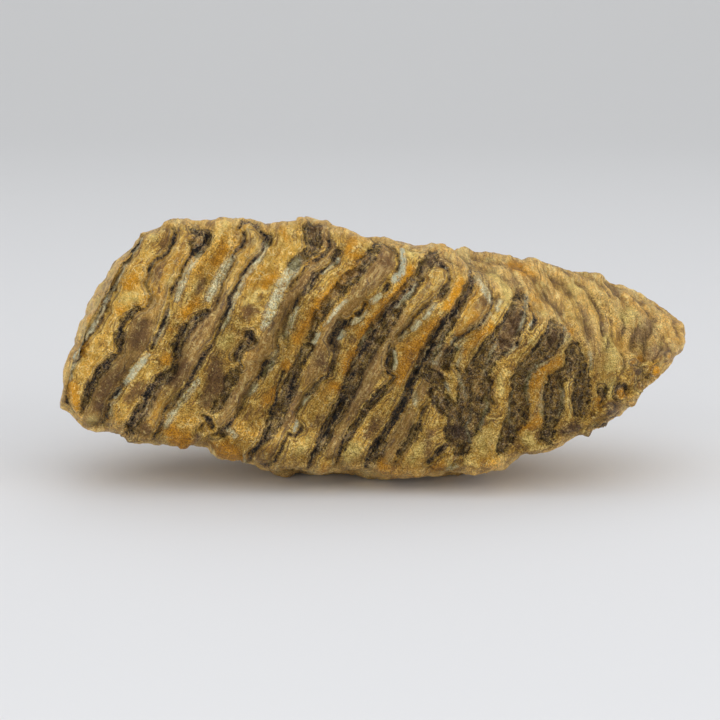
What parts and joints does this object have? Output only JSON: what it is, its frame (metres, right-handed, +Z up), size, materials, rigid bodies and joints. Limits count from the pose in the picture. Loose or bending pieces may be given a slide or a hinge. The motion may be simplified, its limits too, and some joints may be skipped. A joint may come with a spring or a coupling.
{
  "type": "fossil mammoth tooth",
  "caption": "Fossil mammoth molar lying on its side, with a nearly flat worn face of slanting enamel plates, ribbed sides and a tapered end.",
  "frame": {"origin": "on the ground, under the middle of the tooth's bounding box as it lies at rest", "axes": "+Z up, +X along the row of plates towards the tapered end, -Y out of the worn face"},
  "size_m": [0.1858, 0.0798, 0.0814],
  "materials": {
    "fossil_tooth": "varnished fossil: golden ochre cement and brown dentine between black and pale green enamel edges"
  },
  "bodies": {
    "root": {"tooth": "fossil_tooth"}
  },
  "joints": []
}
